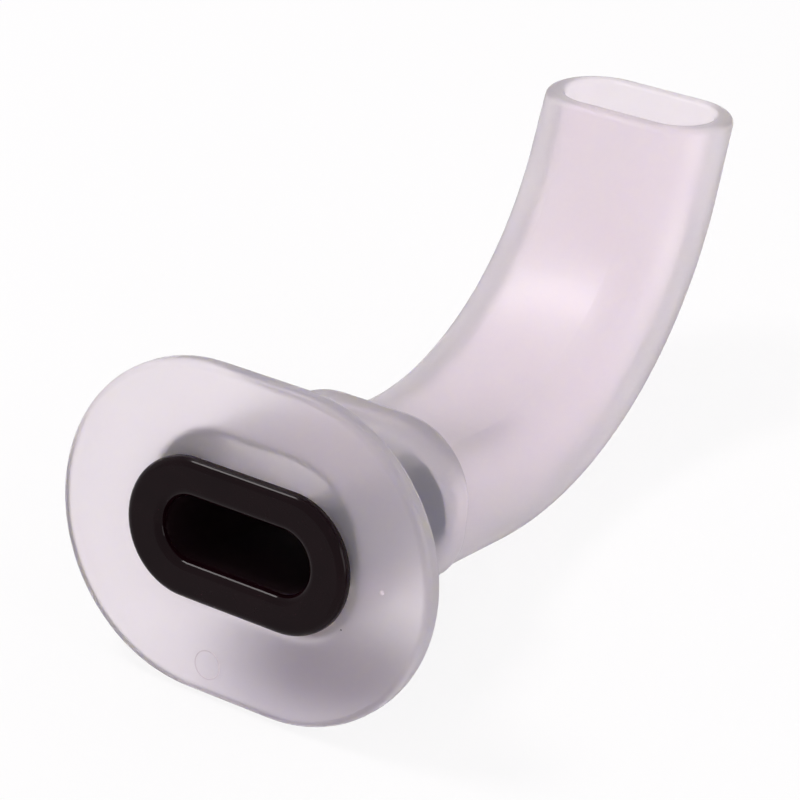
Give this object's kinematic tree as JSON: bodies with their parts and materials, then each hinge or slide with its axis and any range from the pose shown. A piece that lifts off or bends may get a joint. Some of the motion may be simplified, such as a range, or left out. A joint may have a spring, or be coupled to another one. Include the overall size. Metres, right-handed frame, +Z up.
{
  "type": "oropharyngeal airway",
  "caption": "Curved flattened breathing tube of milky clear plastic with an oval lip flange and a hard black bite insert with a slot through it.",
  "frame": {"origin": "on the table under the middle of the airway, lying at rest on the flange's lower rim and the outside of the bend", "axes": "+X across the flange's long way, +Y from the flange into the mouth, +Z up; the flange leans back by 14 degrees and the tube curves up"},
  "size_m": [0.0312, 0.0604, 0.0235],
  "materials": {
    "clear_moulding": "milky translucent, satin",
    "hard_insert": "satin black"
  },
  "bodies": {
    "root": {"airway_body": "clear_moulding", "bite_insert": "hard_insert"}
  },
  "joints": []
}
